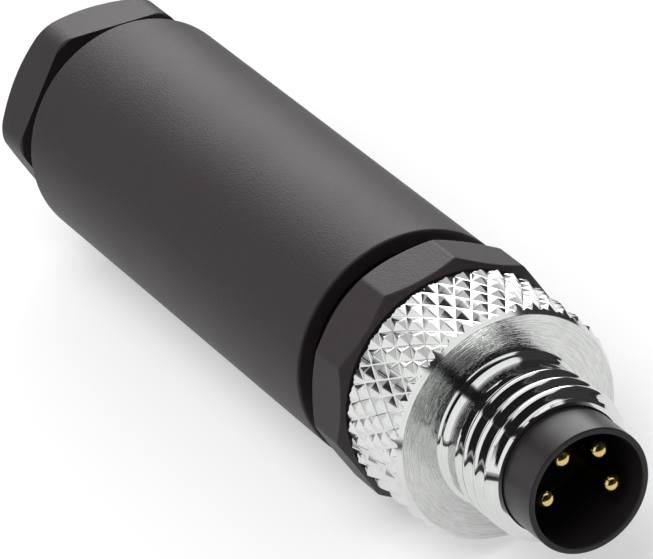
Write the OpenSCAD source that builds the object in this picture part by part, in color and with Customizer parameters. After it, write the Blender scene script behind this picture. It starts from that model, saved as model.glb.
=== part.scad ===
// Straight M8 cable plug with four pin contacts, wired in the field.
// Every piece is turned about one axis. The modules draw it upright: +Z points out of the mating
// face, z = 0 is the shroud's rim and everything behind it has a negative z. lay() then puts the
// plug on its side, rim towards +X, resting on one flat of the grip body.
// All lengths are in millimetres.

/* [Mating face] */
// Wall of the shroud round the pins
shroud_wall = 0.32; // [0.25:0.01:0.45]
// How deep the shroud is, from its rim to the face that the pins stand on
shroud_depth = 5.2; // [4:0.1:6.5]
// How far the shroud stands out of the coupling thread
shroud_reach = 2.45; // [1.5:0.05:3.2]
// Diameter of a pin
pin_d = 1; // [0.8:0.05:1.1]
// How far the pins stay behind the rim
pin_recess = 0.6; // [0.2:0.05:2]
// Diameter of the circle that the pins stand on
pin_circle = 3.7; // [3.5:0.05:3.9]
// Half the angle between the two close pins
near_angle = 33.5; // [32:0.5:38]
// Half the angle between the two far pins
far_angle = 103.5; // [100:0.5:108]
// Turn of the pin pattern against the grip body's flats
insert_turn = 72; // [0:1:359]

/* [Coupling ring] */
// Major diameter of the coupling thread
thread_d = 8; // [7.8:0.05:9]
// Wall of the threaded neck, from its bore to the thread's crest
neck_wall = 0.7; // [0.6:0.05:0.9]
// Length from the thread's front to the flange
thread_len = 4.97; // [4:0.05:7]
// Width of the relief groove behind the thread
relief_w = 0.75; // [0.4:0.05:1.2]
// Depth of the relief groove below the thread's crest
relief_depth = 0.38; // [0.2:0.02:0.4]
// Width of the smooth collar between the groove and the flange
collar_w = 0.4; // [0.3:0.05:0.8]
// How far the collar stands over the thread's crest
collar_rise = 0.12; // [0.05:0.01:0.3]
// Length of the lead chamfer at the thread's front
lead_len = 0.95; // [0.5:0.05:1.2]
// Width of the flat edge that the lead chamfer leaves at the front
lead_edge = 0.08; // [0.05:0.01:0.3]
// Thickness of the flange wall behind the front face
flange_wall = 0.8; // [0.6:0.05:1.2]
// How far the flat front face stays inside the knurl's tips
flange_drop = 0.28; // [0.1:0.02:0.6]
// Width of the ring from the flange to its rear face
ring_w = 4.82; // [4.4:0.02:7]

/* [Knurl] */
// How far the knurl's tips stay under the grip's flats
knurl_drop = 0.08; // [0.04:0.01:0.3]
// Depth of the knurl's valleys
knurl_depth = 0.36; // [0.2:0.02:0.4]
// Number of diamonds round the ring
knurl_count = 40; // [36:1:44]
// Rows of half diamonds along the ring
knurl_rows = 5; // [4:1:6]
// Length of the chamfer between the front face and the knurl
knurl_lead = 0.65; // [0.4:0.05:0.9]

/* [Grip body] */
// How far the grip's flats stand over the sleeve
grip_rise = 0.03; // [0.02:0.01:0.5]
// Number of flats
grip_sides = 10; // [8:2:12]
// Length of the flats
grip_w = 3.2; // [2.6:0.05:5]
// Edge chamfer of the grip
grip_chamfer = 0.2; // [0.1:0.02:0.3]
// Wall of the hub that carries the coupling ring
hub_wall = 1.27; // [1.1:0.01:1.4]
// Wall of the rear thread that takes the sleeve
skirt_wall = 0.72; // [0.6:0.02:1.2]
// Length of the rear thread
skirt_len = 6.3; // [5:0.1:7]
// Depth of the seal's groove in the rear thread
seal_groove = 0.3; // [0.2:0.02:0.34]

/* [Sleeve] */
// Wall of the sleeve over the rear thread
sleeve_wall = 0.95; // [0.8:0.05:1.5]
// Length of the sleeve
sleeve_len = 29.45; // [27:0.05:36]
// Free space between the terminal block and the sleeve's bore
block_room = 0.45; // [0.3:0.05:0.6]
// How much smaller in radius the gland nut's bore is than the sleeve's
gland_step = 0.2; // [0.1:0.05:0.4]
// Depth of the gland bore
gland_depth = 11.2; // [10.8:0.1:12.5]
// Thickness of the wall in front of the cable seal
seal_wall = 1.3; // [1:0.1:2]
// Free space round the cable in that wall
wall_room = 0.35; // [0.2:0.05:0.6]
// Rounding of the sleeve's ends
sleeve_round = 0.3; // [0.1:0.05:0.5]

/* [Cable gland] */
// How far the nut's flats stand over its neck's bore in the sleeve
nut_rise = 0.7; // [0.5:0.05:1.2]
// Rounding radius of the nut's corners
nut_corner = 2.1; // [1:0.1:3]
// Length of the nut's flats
nut_w = 2.3; // [2:0.1:6]
// Turn of the nut's corners
nut_turn = 47.7; // [0:0.1:59]
// Length of the domed end behind the flats
nut_dome = 1.1; // [0.6:0.1:2]
// Length of the nut's threaded neck
nut_neck = 5.8; // [5:0.1:6.5]
// Hole for the cable
cable_hole = 5.3; // [5:0.05:5.5]
// Length of the cone that closes the clamping cage
cone_len = 2.6; // [2:0.1:3]
// Wall of the nut's neck round the clamping cage
nut_wall = 0.65; // [0.5:0.05:0.8]
// Wall of the clamping cage
cage_wall = 1.1; // [0.95:0.05:1.15]
// Number of clamping fingers
cage_fingers = 6; // [4:1:8]
// Width of the slots between the fingers
cage_slot = 0.9; // [0.5:0.05:1.1]
// Length of the cable seal
seal_len = 4; // [3:0.1:4.2]
// How much tighter than the cable hole the cable seal is, in radius
seal_grip = 0.05; // [0:0.05:0.2]
// Thickness of the slip washer
washer_t = 0.5; // [0.3:0.05:0.6]

/* [Terminals] */
// Wall of the terminal block outside the barrels
block_wall = 0.9; // [0.8:0.05:1.2]
// Length of the terminal block
block_len = 15; // [13:0.1:16]
// Diameter of a contact's barrel
barrel_d = 2.3; // [2.2:0.02:2.4]
// Length of a contact's barrel
barrel_len = 7.4; // [6:0.1:8]
// Diameter of the circle that the barrels lie on
barrel_circle = 4.9; // [4.7:0.05:5.4]
// Diameter of the wire hole in a barrel
wire_hole = 1.3; // [1.1:0.05:1.4]
// Depth of the wire hole
wire_depth = 5.4; // [4:0.1:5.6]
// Diameter of a terminal screw
screw_d = 1.4; // [1.2:0.05:1.5]
// Length of a terminal screw
screw_len = 1.25; // [1:0.05:1.3]
// Width of the slot in a terminal screw
screw_slot = 0.3; // [0.2:0.02:0.35]
// How far the screws are from the block's rear
screw_back = 3.2; // [2.6:0.1:3.6]

/* [Gaps] */
// Gap between the coupling ring and the grip
ring_gap = 0.26; // [0.15:0.01:0.5]
// Open gap between the grip and the sleeve
seal_gap = 1.35; // [1.2:0.05:2]
// Open gap between the sleeve and the nut's flats, as delivered
nut_gap = 1.7; // [1.6:0.05:3]
// Radial clearance of pieces that turn or slide
run_gap = 0.05; // [0.03:0.01:0.08]
// Clearance of pieces that are fitted once
fit_gap = 0.03; // [0.02:0.01:0.05]
// Clearance round rubber pieces
soft_gap = 0.2; // [0.1:0.05:0.3]

/* [Hidden] */
$fn = 96;
far = 60;
eps = 0.5;

// Stations along the axis, from the rim backwards
z_thread = -shroud_reach;
z_flange = z_thread - thread_len;
z_knurl = z_flange - knurl_lead;
z_pocket = z_flange - flange_wall;
z_ring_rear = z_flange - ring_w;
z_grip = z_ring_rear - ring_gap;
z_grip_rear = z_grip - grip_w;
z_sleeve = z_grip_rear - seal_gap;
z_sleeve_rear = z_sleeve - sleeve_len;
z_nut = z_sleeve_rear - nut_gap;
z_nut_dome = z_nut - nut_w;
z_end = z_nut_dome - nut_dome;
total_len = -z_end;

// The insert's flange, the gasket behind it and the hub's front
flange_play = 0.18;
insert_flange_rise = 0.65;
insert_flange_t = 0.6;
z_insert_flange = z_pocket - flange_play;
gasket_t = 0.46;
gasket_rise = 1.05;
z_gasket = z_insert_flange - insert_flange_t - fit_gap;
z_hub = z_gasket - gasket_t - fit_gap;

// The terminal block sits in the grip body, behind the insert
block_seat = 0.5;
z_block = z_grip - block_seat;
z_insert_rear = z_block + fit_gap;
z_block_rear = z_block - block_len;
z_skirt_rear = z_grip_rear - skirt_len;
barrel_in = 0.5;
z_barrel = z_block_rear + barrel_in + barrel_len;
z_screw = z_block_rear + screw_back;

// The retaining ring near the hub's rear
clip_t = 0.4;
clip_groove_t = clip_t + 2 * fit_gap;
clip_groove = 0.35;
clip_back = 0.5;
clip_split = 24;
z_clip_groove = z_ring_rear + clip_back;
clip_reach = 0.45;

// The body seal in its groove behind the grip
seal_section = 0.8;
z_seal_groove = z_grip_rear - seal_section - 2 * fit_gap;

// Small edge breaks, reliefs and slot depths
rim_break = 0.1;
sleeve_relief = 0.3;
seal_lead = 0.4;
screw_slot_depth = 0.4;

// The cable gland inside the sleeve
z_gland = z_sleeve_rear + gland_depth;
z_seal_wall = z_gland + seal_wall;
z_seal_rear = z_gland - fit_gap - seal_len;
z_washer_rear = z_seal_rear - fit_gap - washer_t;
cage_free = 1.7;
cage_collar = 1.6;
z_cage = z_washer_rear - cage_free;
z_neck = z_nut + nut_neck;
cone_grip = 0.6;
nut_dome_in = 1.3;
cable_land = 2.3;
z_cone_rear = z_end + cable_land;
z_cone = z_cone_rear + cone_len;
z_cage_tip = z_cone - cone_grip * cone_len;

// Radii of the mating face, from the coupling thread inwards
thread_r = thread_d / 2;
collar_r = thread_r + collar_rise;
ring_bore_r = thread_r - neck_wall;
shroud_r = ring_bore_r - run_gap;
hub_r = shroud_r + fit_gap + hub_wall;
pocket_r = hub_r + run_gap;

// Radii of the housing, from the contacts outwards
pin_r = pin_d / 2;
screw_r = screw_d / 2;
barrel_r = barrel_d / 2;
block_r = barrel_circle / 2 + barrel_r + block_wall;
skirt_r = block_r + fit_gap + skirt_wall;
mouth_r = skirt_r + run_gap;
sleeve_r = mouth_r + sleeve_wall;
bore_r = block_r + block_room;
grip_af = 2 * (sleeve_r + grip_rise);
grip_r = grip_af / 2 / cos(180 / grip_sides);
rest_h = grip_af / 2;
knurl_r = rest_h - knurl_drop;
flange_r = knurl_r - flange_drop;

// Radii of the cable gland
gland_r = bore_r - gland_step;
neck_r = gland_r - run_gap;
cone_r = neck_r - nut_wall;
cage_r = cone_r - run_gap;
cable_r = cable_hole / 2;
seal_r = cable_r - seal_grip;
cage_tip_r = cage_r - cone_grip * (cone_r - cable_r);
nut_af = 2 * (gland_r + nut_rise);
nut_r = (nut_af / 2 - nut_corner) / cos(30) + nut_corner;

// Turn of each contact round the axis: two close ones, then two far ones
contact_angles = [
    insert_turn + near_angle, insert_turn - near_angle,
    insert_turn - far_angle, insert_turn + far_angle,
];

// ---- helpers ----

// Lays the upright plug on its side, rim towards +X
module lay() {
    translate([total_len / 2, 0, rest_h]) rotate([90, 0, 90]) children();
}

// A solid turned from a list of [radius, height] points
module turned(profile) {
    rotate_extrude() polygon(profile);
}

// A straight round bar or hole between two heights
module rod(r, z_low, z_high) {
    translate([0, 0, z_low]) cylinder(r = r, h = z_high - z_low);
}

// A ring with a rectangular section
module ring(r_in, r_out, z_low, z_high) {
    turned([[r_in, z_low], [r_out, z_low], [r_out, z_high], [r_in, z_high]]);
}

// Points of an arc in the turning plane
function arc(cx, cz, r, from, to, steps) =
    [for (i = [0:steps]) let (a = from + (to - from) * i / steps) [cx + r * cos(a), cz + r * sin(a)]];

// A regular prism whose flats are af apart, its ends chamfered as on a lathe
module chamfered_prism(af, sides, corner_r, chamfer, z_low, z_high) {
    intersection() {
        translate([0, 0, z_low])
            cylinder(r = af / 2 / cos(180 / sides), h = z_high - z_low, $fn = sides);
        turned([
            [0, z_low], [corner_r - chamfer, z_low], [corner_r, z_low + chamfer],
            [corner_r, z_high - chamfer], [corner_r - chamfer, z_high], [0, z_high],
        ]);
    }
}

// ---- coupling ring ----

// Point k of knurl row j: tips and valleys take turns along a row and from row to row
function knurl_point(k, j) =
    let (
        tip = (k + j) % 2 == 0,
        last = j == knurl_rows + 1,
        r = last ? flange_r : knurl_r - (tip ? 0 : knurl_depth),
        z = last ? z_flange : z_ring_rear + j * (z_knurl - z_ring_rear) / knurl_rows,
        a = k * 180 / knurl_count
    ) [r * cos(a), r * sin(a), z];

// The knurled body: each diamond is a four-sided pyramid between crossing valleys
module knurled_body() {
    n = 2 * knurl_count;
    rows = knurl_rows + 1;
    points = [for (j = [0:rows]) for (k = [0:n - 1]) knurl_point(k, j)];
    sides = [
        for (j = [0:rows - 1]) for (k = [0:n - 1])
            let (a = j * n + k, b = j * n + (k + 1) % n, c = a + n, d = b + n)
            each (k + j) % 2 == 0 ? [[a, c, b], [b, c, d]] : [[a, d, b], [a, c, d]]
    ];
    rear = [for (k = [0:n - 1]) k];
    front = [for (k = [n - 1:-1:0]) rows * n + k];
    polyhedron(points = points, faces = concat(sides, [rear], [front]));
}

// The ring's front part: the thread's crests with the lead chamfer, the relief groove and the
// collar. It is one piece of metal with the knurled part, and runs through that part's flange.
module threaded_neck() {
    relief_r = thread_r - relief_depth;
    z_relief = z_flange + collar_w;
    color("gainsboro") lay() turned([
        [ring_bore_r, z_pocket], [collar_r, z_pocket], [collar_r, z_relief - collar_rise],
        [thread_r, z_relief], [relief_r, z_relief],
        [relief_r, z_relief + relief_w - relief_depth], [thread_r, z_relief + relief_w],
        [thread_r, z_thread - lead_len], [ring_bore_r + lead_edge, z_thread],
        [ring_bore_r, z_thread],
    ]);
}

module coupling_ring() {
    clip_r = hub_r + clip_reach + run_gap;
    color("gainsboro") lay() difference() {
        knurled_body();
        rod(collar_r, -far, far);
        rod(pocket_r, -far, z_pocket);
        ring(pocket_r - eps, clip_r, z_clip_groove, z_clip_groove + clip_groove_t);
    }
}

// ---- mating insert, contacts and terminals ----

module at_contact(i, circle) {
    rotate(contact_angles[i - 1]) translate([circle / 2, 0, 0]) children();
}

// Points a child's +Z outwards along the terminal screw of contact i
module along_screw(i) {
    rotate(contact_angles[i - 1]) translate([0, 0, z_screw]) rotate([0, 90, 0]) children();
}

module contact_insert() {
    inner_r = shroud_r - shroud_wall;
    flange_edge_r = shroud_r + insert_flange_rise;
    color("dimgray") lay() difference() {
        turned([
            [0, z_insert_rear], [shroud_r, z_insert_rear],
            [shroud_r, z_insert_flange - insert_flange_t],
            [flange_edge_r, z_insert_flange - insert_flange_t],
            [flange_edge_r, z_insert_flange], [shroud_r, z_insert_flange],
            [shroud_r, -rim_break], [shroud_r - rim_break, 0],
            [inner_r + rim_break, 0], [inner_r, -rim_break],
            [inner_r, -shroud_depth], [0, -shroud_depth],
        ]);
        for (i = [1:4]) at_contact(i, pin_circle) rod(pin_r + fit_gap, -far, far);
    }
}

// One contact: the pin in front, the screw barrel behind it, set outwards
module contact(i) {
    z_pin = -pin_recess - pin_r;
    color("gold") lay() difference() {
        union() {
            at_contact(i, pin_circle)
                turned(concat(
                    [[0, z_barrel - eps], [pin_r, z_barrel - eps]], arc(0, z_pin, pin_r, 0, 90, 8)
                ));
            at_contact(i, barrel_circle) rod(barrel_r, z_barrel - barrel_len, z_barrel);
        }
        at_contact(i, barrel_circle)
            rod(wire_hole / 2, z_barrel - barrel_len - eps, z_barrel - barrel_len + wire_depth);
        along_screw(i) rod(screw_r + run_gap, barrel_circle / 2, far);
    }
}

module terminal_block() {
    color("darkslategray") lay() difference() {
        ring(0, block_r, z_block_rear, z_block);
        for (i = [1:4]) {
            at_contact(i, pin_circle) rod(pin_r + fit_gap, -far, far);
            at_contact(i, barrel_circle) rod(barrel_r + fit_gap, -far, z_barrel + fit_gap);
            along_screw(i) rod(screw_r + 2 * run_gap, barrel_circle / 2, far);
        }
    }
}

// A slotted screw that points at the axis, its head just inside the block's surface
module terminal_screw(i) {
    head_r = block_r - run_gap;
    color("silver") lay() along_screw(i) difference() {
        rod(screw_r, head_r - screw_len, head_r);
        translate([0, 0, head_r])
            cube([screw_slot, screw_d + eps, 2 * screw_slot_depth], center = true);
    }
}

// ---- grip body and what sits on it ----

module grip_body() {
    bore_r = shroud_r + fit_gap;
    color("dimgray") lay() difference() {
        union() {
            rod(hub_r, z_grip - eps, z_hub);
            rotate(180 / grip_sides * (grip_sides % 4 == 2 ? 0 : 1))
                chamfered_prism(
                    grip_af, grip_sides, grip_r - grip_chamfer / 2, grip_chamfer, z_grip_rear, z_grip
                );
            rod(skirt_r, z_skirt_rear, z_grip_rear + eps);
        }
        rod(bore_r, -far, far);
        rod(block_r + fit_gap, -far, z_block);
        ring(hub_r - clip_groove, hub_r + eps, z_clip_groove, z_clip_groove + clip_groove_t);
        ring(skirt_r - seal_groove, skirt_r + eps, z_seal_groove, z_grip_rear);
    }
}

module retaining_ring() {
    outer_r = hub_r + clip_reach;
    z_clip = z_clip_groove + fit_gap;
    color("slategray") lay() difference() {
        ring(hub_r - clip_groove + fit_gap, outer_r, z_clip, z_clip + clip_t);
        rotate(90 - clip_split / 2) translate([0, 0, z_clip - eps])
            rotate_extrude(angle = clip_split) square([outer_r + eps, clip_t + 2 * eps]);
    }
}

module insert_gasket() {
    color("black") lay()
        ring(shroud_r + fit_gap, shroud_r + gasket_rise, z_gasket - gasket_t, z_gasket);
}

module body_seal() {
    section_r = seal_section / 2;
    color("black") lay() rotate_extrude()
        translate([skirt_r - seal_groove + fit_gap + section_r, z_grip_rear - fit_gap - section_r])
            circle(r = section_r, $fn = 32);
}

// ---- sleeve and cable gland ----

module sleeve() {
    hole_r = cable_r + wall_room;
    mouth_rear = z_skirt_rear - sleeve_relief;
    color([0.26, 0.24, 0.24]) lay() turned([
        [mouth_r, z_sleeve], [sleeve_r - sleeve_round, z_sleeve], [sleeve_r, z_sleeve - sleeve_round],
        [sleeve_r, z_sleeve_rear + sleeve_round], [sleeve_r - sleeve_round, z_sleeve_rear],
        [gland_r, z_sleeve_rear], [gland_r, z_gland], [hole_r, z_gland],
        [hole_r, z_seal_wall], [bore_r, z_seal_wall + bore_r - hole_r],
        [bore_r, mouth_rear], [mouth_r, mouth_rear],
    ]);
}

module cable_seal() {
    outer_r = gland_r - soft_gap;
    color("black") lay() turned([
        [seal_r, z_seal_rear], [outer_r - seal_lead, z_seal_rear], [outer_r, z_seal_rear + seal_lead],
        [outer_r, z_gland - fit_gap], [seal_r, z_gland - fit_gap],
    ]);
}

module slip_washer() {
    color("silver") lay()
        ring(seal_r + fit_gap, gland_r - run_gap, z_washer_rear, z_washer_rear + washer_t);
}

// The cage's fingers taper to the cone in the nut
module clamping_cage() {
    inner_r = cage_r - cage_wall;
    color("ivory") lay() difference() {
        turned([
            [inner_r, z_cage_tip], [cage_tip_r, z_cage_tip], [cage_r, z_cone],
            [cage_r, z_cage], [inner_r, z_cage],
        ]);
        for (i = [0:cage_fingers - 1]) rotate(360 / cage_fingers * i)
            translate([0, -cage_slot / 2, z_cage_tip - eps])
                cube([cage_r + eps, cage_slot, z_cage - cage_collar - z_cage_tip + eps]);
    }
}

// A hexagon whose corners are rounded: six corner discs and the strips between them
module rounded_hexagon(af, corner) {
    corner_at = (af / 2 - corner) / cos(30);
    circle(r = corner_at, $fn = 6);
    for (i = [0:5]) rotate(60 * i) {
        translate([corner_at, 0]) circle(r = corner);
        rotate(30) translate([0, -corner_at / 2]) square([af / 2, corner_at]);
    }
}

module gland_nut() {
    color("dimgray") lay() difference() {
        union() {
            intersection() {
                rotate(nut_turn) translate([0, 0, z_end])
                    linear_extrude(z_nut - z_end) rounded_hexagon(nut_af, nut_corner);
                turned([
                    [0, z_end], [nut_r - nut_dome_in, z_end], [nut_r, z_nut_dome],
                    [nut_r, z_nut - grip_chamfer], [nut_r - grip_chamfer, z_nut], [0, z_nut],
                ]);
            }
            rod(neck_r, z_nut - eps, z_neck);
        }
        rod(cable_r, -far, far);
        turned([[0, z_cone_rear], [cable_r, z_cone_rear], [cone_r, z_cone], [cone_r, 0], [0, 0]]);
    }
}

// ---- nodes ----

coupling_ring();
threaded_neck();
contact_insert();
contact(1);  // contact_1
contact(2);  // contact_2
contact(3);  // contact_3
contact(4);  // contact_4
grip_body();
retaining_ring();
insert_gasket();
body_seal();
terminal_block();
terminal_screw(1);  // terminal_screw_1
terminal_screw(2);  // terminal_screw_2
terminal_screw(3);  // terminal_screw_3
terminal_screw(4);  // terminal_screw_4
sleeve();
cable_seal();
slip_washer();
clamping_cage();
gland_nut();
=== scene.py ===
# %% [markdown]
# # A straight M8 cable plug, dressed as a product
#
# The plug is almost wholly turned: every piece shares one axis. The packed solids give the sizes,
# and this script makes the surfaces that the eye reads: rolled knurling, a cut thread, grained
# plastic, bright nickel, and gold on the pins.

# %% Load the fixed frame
import math

import bmesh
import bpy
from mathutils import Matrix, Vector


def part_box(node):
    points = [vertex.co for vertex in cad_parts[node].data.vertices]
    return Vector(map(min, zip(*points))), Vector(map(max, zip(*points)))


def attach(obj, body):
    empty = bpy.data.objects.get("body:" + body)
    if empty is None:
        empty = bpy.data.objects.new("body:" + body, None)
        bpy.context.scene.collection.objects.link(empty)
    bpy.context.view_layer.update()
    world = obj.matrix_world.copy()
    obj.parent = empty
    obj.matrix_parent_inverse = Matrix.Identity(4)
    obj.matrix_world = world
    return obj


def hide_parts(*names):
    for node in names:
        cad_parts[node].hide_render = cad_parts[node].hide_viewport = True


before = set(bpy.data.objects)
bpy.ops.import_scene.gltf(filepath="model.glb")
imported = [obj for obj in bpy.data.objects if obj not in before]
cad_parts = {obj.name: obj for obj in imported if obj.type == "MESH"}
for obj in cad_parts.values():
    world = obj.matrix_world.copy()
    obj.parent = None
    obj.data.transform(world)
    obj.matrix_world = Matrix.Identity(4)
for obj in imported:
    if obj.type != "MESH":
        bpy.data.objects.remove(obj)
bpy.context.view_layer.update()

# %% [markdown]
# ## One ruler for the whole plug
#
# Lengths are in millimetres, as on a drawing, and MM turns them into metres. A station is a
# distance behind the shroud's rim. The rim, the axis and each piece's ends are read from the
# solids' boxes, so the surfaces always sit where the solids are.

# %% The ruler
MM = 0.001
rim_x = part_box("contact_insert")[1].x
sleeve_low, sleeve_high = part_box("sleeve")
axis_z = (sleeve_low.z + sleeve_high.z) / 2


def span(node):
    """The front and rear stations of a solid."""
    low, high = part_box(node)
    return (rim_x - high.x) / MM, (rim_x - low.x) / MM


def reach(node):
    """The largest radius of a round solid."""
    low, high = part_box(node)
    return (high.y - low.y) / 2 / MM


for name in ("contact_insert", "threaded_neck", "coupling_ring", "grip_body", "sleeve",
             "gland_nut"):
    print(name, "from %.2f to %.2f" % span(name), "radius %.2f" % reach(name))

# %% [markdown]
# ## Fields: formulas made of nodes
#
# Rolled and cut surfaces follow a rule, so they are best written as a formula. In a node tree a
# long one takes dozens of Math nodes. This small class writes them: each Python operator on a field
# adds one Math node.

# %% The field class
class Field:
    """A value that changes over a surface: the output socket of a node."""

    def __init__(self, tree, socket):
        self.tree, self.socket = tree, socket

    def math(self, operation, *others, swap=False):
        node = self.tree.nodes.new("ShaderNodeMath")
        node.operation = operation
        values = (*others, self) if swap else (self, *others)
        for socket, value in zip(node.inputs, values):
            plug(self.tree, value, socket)
        return Field(self.tree, node.outputs[0])

    def __add__(self, other): return self.math("ADD", other)
    def __sub__(self, other): return self.math("SUBTRACT", other)
    def __rsub__(self, other): return self.math("SUBTRACT", other, swap=True)
    def __mul__(self, other): return self.math("MULTIPLY", other)
    def __rmul__(self, other): return self.math("MULTIPLY", other)
    def __truediv__(self, other): return self.math("DIVIDE", other)
    def __rtruediv__(self, other): return self.math("DIVIDE", other, swap=True)
    def __gt__(self, other): return self.math("GREATER_THAN", other)
    def __lt__(self, other): return self.math("LESS_THAN", other)

    def abs(self): return self.math("ABSOLUTE")
    def sqrt(self): return self.math("SQRT")
    def sin(self): return self.math("SINE")
    def cos(self): return self.math("COSINE")
    def round(self): return self.math("ROUND")
    def least(self, other): return self.math("MINIMUM", other)
    def most(self, other): return self.math("MAXIMUM", other)
    def soft_least(self, other, softness): return self.math("SMOOTH_MIN", other, softness)
    def wrap(self, high): return self.math("WRAP", high, 0.0)
    def pick(self, yes, no): return self * yes + (1.0 - self) * no

    def ramp(self, low, high):
        """0 up to low, 1 from high, and smooth between them."""
        node = self.tree.nodes.new("ShaderNodeMapRange")
        node.interpolation_type = "SMOOTHSTEP"
        for name, value in (("Value", self), ("From Min", low), ("From Max", high)):
            plug(self.tree, value, node.inputs[name])
        return Field(self.tree, node.outputs[0])


print("a field knows:", *(name for name in vars(Field) if not name.startswith("_")))

# %% [markdown]
# Two helpers do the wiring. One gives a socket a field, another socket or a plain value. The other
# adds a node with all that it needs in one line, which keeps a long tree as short to read as its
# formula.

# %% Wiring
def plug(tree, value, socket):
    """Gives a socket a field, another socket or a plain value."""
    value = value.socket if isinstance(value, Field) else value
    if isinstance(value, bpy.types.NodeSocket):
        tree.links.new(value, socket)
    elif value is not None:
        socket.default_value = value


def put(tree, kind, **values):
    """Adds a node. Names that are its properties are set, and all others are its inputs."""
    node = tree.nodes.new(kind)
    rest = {}
    for name, value in values.items():
        if hasattr(node, name):
            setattr(node, name, value)
        else:
            rest[name] = value
    for name, value in rest.items():
        plug(tree, value, node.inputs[name.replace("_", " ")])
    return node


print("wiring:", plug.__name__, "and", put.__name__)

# %% [markdown]
# ## Pieces made on the lathe
#
# A turned piece is a profile swept round the axis. A Screw modifier could sweep it too, but its
# rounded edges would need a Bevel that guesses which edges to take. Here the profile is a closed
# list of corners, each with its station, its radius and how far its edge is eased, because no real
# edge is quite sharp and the rounding catches the light. Guard rings beside each eased edge keep
# the smooth shading off the flat faces.

# %% Easing a profile's corners
GUARD_RING, LONGEST_EASE = 1.1, 0.45


def eased_profile(corners, steps=4):
    """The profile's points, with each corner that has an easing rounded."""
    points = []
    for i, (station, radius, ease) in enumerate(corners):
        here = Vector((station, radius))
        if not ease:
            points.append(here)
            continue
        ends = []
        for other in (corners[i - 1], corners[(i + 1) % len(corners)]):
            away = Vector(other[:2]) - here
            ends.append((away.normalized(), min(ease, away.length * LONGEST_EASE)))
        (before, a), (after, b) = ends
        points.append(here + before * a * GUARD_RING)
        for k in range(steps + 1):
            u = k / steps
            points.append(here + before * a * (1 - u) ** 2 + after * b * u * u)
        points.append(here + after * b * GUARD_RING)
    return points


corner = eased_profile([(0, 0, 0), (0, 1, 0.1), (1, 1, 0)])
print("one eased corner of a profile becomes", len(corner) - 2, "points")

# %% [markdown]
# The points are set round the axis, or a line beside it, and joined by faces. A point on the axis
# stays one point, so that the pole is closed. Every mesh goes through the same last step: doubles
# are merged, faces are turned outwards, and edges that are really sharp are marked, so that only
# the rest is shaded smooth.

# %% Turning a profile
WELD = 0.0005 * MM
SHARP_ANGLE = math.radians(38)
ON_AXIS = 1e-6


def finished_mesh(name, bm, sharp=SHARP_ANGLE):
    """Merges what coincides, points every face outwards and marks the sharp edges."""
    bmesh.ops.remove_doubles(bm, verts=bm.verts, dist=WELD)
    bmesh.ops.dissolve_degenerate(bm, edges=bm.edges, dist=WELD)
    bmesh.ops.recalc_face_normals(bm, faces=bm.faces)
    mesh = bpy.data.meshes.new(name)
    bm.to_mesh(mesh)
    bm.free()
    mesh.shade_smooth()
    mesh.set_sharp_from_angle(angle=sharp)
    return mesh


def turned(name, corners, segments=160, centre=(0.0, 0.0), steps=4):
    """Sweeps a closed profile once round the axis, or round a line beside it."""
    bm = bmesh.new()
    rings = []
    for station, radius in eased_profile(corners, steps):
        x, count = rim_x - station * MM, segments if radius > ON_AXIS else 1
        ring = []
        for k in range(count):
            turn = 2 * math.pi * k / count
            y, z = centre[0] + radius * math.cos(turn), centre[1] + radius * math.sin(turn)
            ring.append(bm.verts.new((x, y * MM, axis_z + z * MM)))
        rings.append(ring)
    for a, b in zip(rings, rings[1:] + rings[:1]):
        for k in range(segments):
            ring = [a[k % len(a)], a[(k + 1) % len(a)], b[(k + 1) % len(b)], b[k % len(b)]]
            face = list(dict.fromkeys(ring))
            if len(face) > 2:
                bm.faces.new(face)
    return finished_mesh(name, bm)


print("edges sharper than", round(math.degrees(SHARP_ANGLE)), "degrees stay sharp")

# %% [markdown]
# A finished piece needs an object, a material, the body that carries it, and the solids that it
# stands for. They are given in one call, so that none is forgotten.

# %% Putting a piece on the plug
def linked(name, data):
    """A new object with this data, in the scene."""
    item = bpy.data.objects.new(name, data)
    bpy.context.scene.collection.objects.link(item)
    return item


def piece(name, mesh, material, body, slot, *nodes):
    """Puts a finished mesh in the scene, on its body, in place of its solids."""
    item = linked(name, mesh)
    item.data.materials.clear()
    item.data.materials.append(material)
    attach(item, body)
    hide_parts(*nodes)
    print(name, "has", sum(len(p.vertices) - 2 for p in mesh.polygons), "triangles")

# %% [markdown]
# ## Surfaces that follow a rule
#
# The knurl, the thread and the flats are all a radius that depends on the turn round the axis and
# the station along it. Booleans could cut them from a bar, but slowly, and with slivers where the
# cuts cross. One kind of Geometry Nodes tree makes them all instead, with its sizes as named
# inputs, so that one tree serves several pieces.

# %% A tree with named inputs
def geometry_tree(name, inputs):
    """A new tree with named inputs. Returns it with its inputs as fields."""
    tree = bpy.data.node_groups.new(name, "GeometryNodeTree")
    tree.interface.new_socket("Geometry", in_out="OUTPUT", socket_type="NodeSocketGeometry")
    for label, kind in inputs.items():
        tree.interface.new_socket(label, in_out="INPUT", socket_type="NodeSocket" + kind)
    entry = tree.nodes.new("NodeGroupInput")
    return tree, {label: Field(tree, entry.outputs[label]) for label in inputs}


def close_tree(tree, geometry, material):
    """Every tree ends in real geometry with its material set."""
    real = put(tree, "GeometryNodeRealizeInstances", Geometry=geometry)
    dressed = put(tree, "GeometryNodeSetMaterial", Geometry=real.outputs[0], Material=material)
    leave = tree.nodes.new("NodeGroupOutput")
    tree.links.new(dressed.outputs[0], leave.inputs[0])


print("every tree ends in Realize Instances and Set Material")

# %% [markdown]
# The tree starts from a flat grid, reads each point's place in the grid as a turn and a station,
# and moves the point out to the radius that the rule gives. Rows beyond both ends fold in over a
# small lip to the bore and meet, so that the skin is closed.

# %% A tree that wraps a grid round the axis
FRONT_ROWS, REAR_ROWS = 2.0, 3.0


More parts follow.
